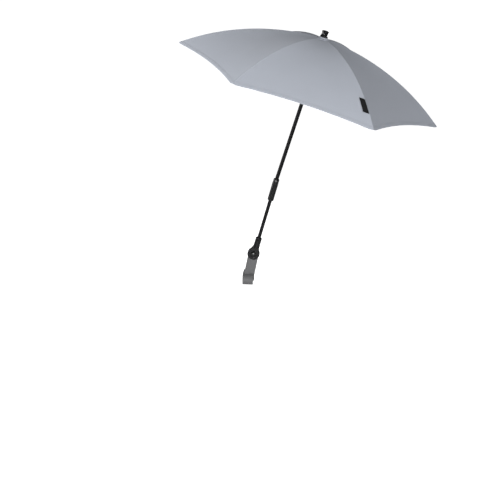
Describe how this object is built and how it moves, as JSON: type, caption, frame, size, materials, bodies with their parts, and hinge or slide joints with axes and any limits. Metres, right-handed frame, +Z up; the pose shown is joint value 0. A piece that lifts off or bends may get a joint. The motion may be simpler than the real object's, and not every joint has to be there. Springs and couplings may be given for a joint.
{
  "type": "pram parasol",
  "caption": "Clip-on pram parasol: a ribbed fabric canopy that folds on a runner, on a shaft that bends at a connector and tilts at a knuckle above a tube clamp.",
  "frame": {"origin": "middle of the round tube that the clamp holds, half-way along the clamp", "axes": "+X along the clamped tube, +Z up, and -Y towards the side that shows the knuckle's pivot head"},
  "size_m": [0.6584, 0.5978, 0.6766],
  "materials": {
    "canopy_cloth": "matte woven polyester",
    "label_cloth": "plain woven tape",
    "black_plastic": "matte",
    "black_tube": "satin black paint",
    "rod_steel": "dark grey satin",
    "fastener_steel": "zinc plated",
    "grey_plastic": "matte grey",
    "pad_rubber": "matte"
  },
  "bodies": {
    "bracket": {"bracket": "grey_plastic", "seat_pad": "pad_rubber", "clamp_nut": "fastener_steel", "pivot_bolt": "rod_steel", "pivot_washer": "grey_plastic", "pivot_nut": "fastener_steel"},
    "jaw": {"clamp_jaw": "grey_plastic", "jaw_pad": "pad_rubber"},
    "screw": {"clamp_screw": "fastener_steel", "clamp_knob": "black_plastic"},
    "lower_arm": {"knuckle": "black_plastic", "lower_rod": "rod_steel", "rod_rivets": "black_tube", "connector": "black_plastic", "connector_pin": "rod_steel"},
    "upper_shaft": {"tang": "black_tube", "shaft_tube": "black_tube", "crown": "black_plastic", "crown_pins": "fastener_steel", "ferrule": "black_plastic", "rosette": "canopy_cloth"},
    "runner": {"runner": "black_plastic"},
    "rib_1": {"rib_1": "black_tube", "rib_tip_1": "black_plastic", "rib_fork_1": "black_plastic"},
    "stretcher_1": {"stretcher_1": "black_tube"},
    "panel_left_1": {"canopy_left_1": "canopy_cloth"},
    "panel_right_1": {"canopy_right_1": "canopy_cloth"},
    "rib_2": {"rib_2": "black_tube", "rib_tip_2": "black_plastic", "rib_fork_2": "black_plastic"},
    "stretcher_2": {"stretcher_2": "black_tube"},
    "panel_left_2": {"canopy_left_2": "canopy_cloth"},
    "panel_right_2": {"canopy_right_2": "canopy_cloth"},
    "rib_3": {"rib_3": "black_tube", "rib_tip_3": "black_plastic", "rib_fork_3": "black_plastic"},
    "stretcher_3": {"stretcher_3": "black_tube"},
    "panel_left_3": {"canopy_left_3": "canopy_cloth"},
    "panel_right_3": {"canopy_right_3": "canopy_cloth"},
    "rib_4": {"rib_4": "black_tube", "rib_tip_4": "black_plastic", "rib_fork_4": "black_plastic"},
    "stretcher_4": {"stretcher_4": "black_tube"},
    "panel_left_4": {"canopy_left_4": "canopy_cloth"},
    "panel_right_4": {"canopy_right_4": "canopy_cloth"},
    "rib_5": {"rib_5": "black_tube", "rib_tip_5": "black_plastic", "rib_fork_5": "black_plastic"},
    "stretcher_5": {"stretcher_5": "black_tube"},
    "panel_left_5": {"canopy_left_5": "canopy_cloth"},
    "panel_right_5": {"canopy_right_5": "canopy_cloth"},
    "rib_6": {"rib_6": "black_tube", "rib_tip_6": "black_plastic", "rib_fork_6": "black_plastic", "label": "label_cloth"},
    "stretcher_6": {"stretcher_6": "black_tube"},
    "panel_left_6": {"canopy_left_6": "canopy_cloth"},
    "panel_right_6": {"canopy_right_6": "canopy_cloth"}
  },
  "joints": [
    {"name": "base_tilt", "type": "hinge", "parent": "bracket", "child": "lower_arm", "pos_m": [0.01555, -0.01, 0.07643], "axis": [0, 1, 0], "range_deg": [-80, 60]},
    {"name": "connector_tilt", "type": "hinge", "parent": "lower_arm", "child": "upper_shaft", "pos_m": [0.074, -0.01, 0.27533], "axis": [0, 1, 0], "range_deg": [-90, 90]},
    {"name": "runner_slide", "type": "slide", "parent": "upper_shaft", "child": "runner", "axis": [-0.2999, 0, -0.954], "range_m": [0, 0.19431]},
    {"name": "jaw_slide", "type": "slide", "parent": "bracket", "child": "jaw", "axis": [0, 1, 0], "range_m": [0, 0.008]},
    {"name": "screw_turn", "type": "hinge", "parent": "jaw", "child": "screw", "pos_m": [0, 0, 0], "axis": [0, 1, 0], "range_deg": [0, 1921]},
    {"name": "rib_fold_1", "type": "hinge", "parent": "upper_shaft", "child": "rib_1", "pos_m": [0.19606, -0.01, 0.63393], "axis": [0, 1, 0], "range_deg": [0, 70]},
    {"name": "stretcher_fold_1", "type": "hinge", "parent": "rib_1", "child": "stretcher_1", "pos_m": [0.32139, -0.01, 0.56706], "axis": [0, 1, 0], "range_deg": [-122.6, 0]},
    {"name": "pleat_left_1", "type": "hinge", "parent": "rib_1", "child": "panel_left_1", "pos_m": [0.42426, -0.22655, 0.69211], "axis": [0.7175, 0.4702, -0.514], "range_deg": [0, 53.3], "deforming": ["canopy_left_1"]},
    {"name": "pleat_right_1", "type": "hinge", "parent": "rib_1", "child": "panel_right_1", "pos_m": [0.42426, 0.20655, 0.69211], "axis": [-0.7175, 0.4702, 0.514], "range_deg": [0, 53.3], "deforming": ["canopy_right_1"]},
    {"name": "rib_fold_2", "type": "hinge", "parent": "upper_shaft", "child": "rib_2", "pos_m": [0.19181, -0.00229, 0.63527], "axis": [-0.8262, 0.5, 0.2597], "range_deg": [0, 70]},
    {"name": "stretcher_fold_2", "type": "hinge", "parent": "rib_2", "child": "stretcher_2", "pos_m": [0.25055, 0.11862, 0.58933], "axis": [-0.8262, 0.5, 0.2597], "range_deg": [-122.6, 0]},
    {"name": "pleat_left_2", "type": "hinge", "parent": "rib_2", "child": "panel_left_2", "pos_m": [0.5034, 0.06286, 0.66723], "axis": [-0.071, 0.9613, -0.2661], "range_deg": [0, 53.3], "deforming": ["canopy_left_2"]},
    {"name": "pleat_right_2", "type": "hinge", "parent": "rib_2", "child": "panel_right_2", "pos_m": [0.14559, 0.27941, 0.7797], "axis": [-0.7059, -0.4911, 0.5103], "range_deg": [0, 53.3], "deforming": ["canopy_right_2"]},
    {"name": "rib_fold_3", "type": "hinge", "parent": "upper_shaft", "child": "rib_3", "pos_m": [0.18332, -0.00229, 0.63794], "axis": [-0.8262, -0.5, 0.2597], "range_deg": [0, 70]},
    {"name": "stretcher_fold_3", "type": "hinge", "parent": "rib_3", "child": "stretcher_3", "pos_m": [0.10886, 0.11862, 0.63387], "axis": [-0.8262, -0.5, 0.2597], "range_deg": [-122.6, 0]},
    {"name": "pleat_left_3", "type": "hinge", "parent": "rib_3", "child": "panel_left_3", "pos_m": [0.30387, 0.27941, 0.72995], "axis": [-0.871, 0.4911, -0.0147], "range_deg": [0, 53.3], "deforming": ["canopy_left_3"]},
    {"name": "pleat_right_3", "type": "hinge", "parent": "rib_3", "child": "panel_right_3", "pos_m": [-0.05394, 0.06286, 0.84242], "axis": [0.094, -0.9613, 0.2589], "range_deg": [0, 53.3], "deforming": ["canopy_right_3"]},
    {"name": "rib_fold_4", "type": "hinge", "parent": "upper_shaft", "child": "rib_4", "pos_m": [0.17908, -0.01, 0.63927], "axis": [0, -1, 0], "range_deg": [0, 70]},
    {"name": "stretcher_fold_4", "type": "hinge", "parent": "rib_4", "child": "stretcher_4", "pos_m": [0.03802, -0.01, 0.65613], "axis": [0, -1, 0], "range_deg": [-122.6, 0]},
    {"name": "pleat_left_4", "type": "hinge", "parent": "rib_4", "child": "panel_left_4", "pos_m": [0.0252, 0.20655, 0.81755], "axis": [-0.8825, -0.4702, -0.011], "range_deg": [0, 53.3], "deforming": ["canopy_left_4"]},
    {"name": "pleat_right_4", "type": "hinge", "parent": "rib_4", "child": "panel_right_4", "pos_m": [0.0252, -0.22655, 0.81755], "axis": [0.8825, -0.4702, 0.011], "range_deg": [0, 53.3], "deforming": ["canopy_right_4"]},
    {"name": "rib_fold_5", "type": "hinge", "parent": "upper_shaft", "child": "rib_5", "pos_m": [0.18332, -0.01771, 0.63794], "axis": [0.8262, -0.5, -0.2597], "range_deg": [0, 70]},
    {"name": "stretcher_fold_5", "type": "hinge", "parent": "rib_5", "child": "stretcher_5", "pos_m": [0.10886, -0.13862, 0.63387], "axis": [0.8262, -0.5, -0.2597], "range_deg": [-122.6, 0]},
    {"name": "pleat_left_5", "type": "hinge", "parent": "rib_5", "child": "panel_left_5", "pos_m": [-0.05394, -0.08286, 0.84242], "axis": [-0.094, -0.9613, -0.2589], "range_deg": [0, 53.3], "deforming": ["canopy_left_5"]},
    {"name": "pleat_right_5", "type": "hinge", "parent": "rib_5", "child": "panel_right_5", "pos_m": [0.30387, -0.29941, 0.72995], "axis": [0.871, 0.4911, 0.0147], "range_deg": [0, 53.3], "deforming": ["canopy_right_5"]},
    {"name": "rib_fold_6", "type": "hinge", "parent": "upper_shaft", "child": "rib_6", "pos_m": [0.19181, -0.01771, 0.63527], "axis": [0.8262, 0.5, -0.2597], "range_deg": [0, 70]},
    {"name": "stretcher_fold_6", "type": "hinge", "parent": "rib_6", "child": "stretcher_6", "pos_m": [0.25055, -0.13862, 0.58933], "axis": [0.8262, 0.5, -0.2597], "range_deg": [-122.6, 0]},
    {"name": "pleat_left_6", "type": "hinge", "parent": "rib_6", "child": "panel_left_6", "pos_m": [0.14559, -0.29941, 0.7797], "axis": [0.7059, -0.4911, -0.5103], "range_deg": [0, 53.3], "deforming": ["canopy_left_6"]},
    {"name": "pleat_right_6", "type": "hinge", "parent": "rib_6", "child": "panel_right_6", "pos_m": [0.5034, -0.08286, 0.66723], "axis": [0.071, 0.9613, 0.2661], "range_deg": [0, 53.3], "deforming": ["canopy_right_6"]}
  ],
  "couplings": [
    {"joint": "screw_turn", "follows": "jaw_slide", "rad_per_m": 4188.8},
    {"joint": "rib_fold_1", "follows": "runner_slide", "rad_per_m": 6.2875},
    {"joint": "stretcher_fold_1", "follows": "runner_slide", "rad_per_m": -11.008},
    {"joint": "pleat_left_1", "follows": "runner_slide", "rad_per_m": 4.7873},
    {"joint": "pleat_right_1", "follows": "runner_slide", "rad_per_m": 4.7873},
    {"joint": "rib_fold_2", "follows": "runner_slide", "rad_per_m": 6.2875},
    {"joint": "stretcher_fold_2", "follows": "runner_slide", "rad_per_m": -11.008},
    {"joint": "pleat_left_2", "follows": "runner_slide", "rad_per_m": 4.7873},
    {"joint": "pleat_right_2", "follows": "runner_slide", "rad_per_m": 4.7873},
    {"joint": "rib_fold_3", "follows": "runner_slide", "rad_per_m": 6.2875},
    {"joint": "stretcher_fold_3", "follows": "runner_slide", "rad_per_m": -11.008},
    {"joint": "pleat_left_3", "follows": "runner_slide", "rad_per_m": 4.7873},
    {"joint": "pleat_right_3", "follows": "runner_slide", "rad_per_m": 4.7873},
    {"joint": "rib_fold_4", "follows": "runner_slide", "rad_per_m": 6.2875},
    {"joint": "stretcher_fold_4", "follows": "runner_slide", "rad_per_m": -11.008},
    {"joint": "pleat_left_4", "follows": "runner_slide", "rad_per_m": 4.7873},
    {"joint": "pleat_right_4", "follows": "runner_slide", "rad_per_m": 4.7873},
    {"joint": "rib_fold_5", "follows": "runner_slide", "rad_per_m": 6.2875},
    {"joint": "stretcher_fold_5", "follows": "runner_slide", "rad_per_m": -11.008},
    {"joint": "pleat_left_5", "follows": "runner_slide", "rad_per_m": 4.7873},
    {"joint": "pleat_right_5", "follows": "runner_slide", "rad_per_m": 4.7873},
    {"joint": "rib_fold_6", "follows": "runner_slide", "rad_per_m": 6.2875},
    {"joint": "stretcher_fold_6", "follows": "runner_slide", "rad_per_m": -11.008},
    {"joint": "pleat_left_6", "follows": "runner_slide", "rad_per_m": 4.7873},
    {"joint": "pleat_right_6", "follows": "runner_slide", "rad_per_m": 4.7873}
  ]
}
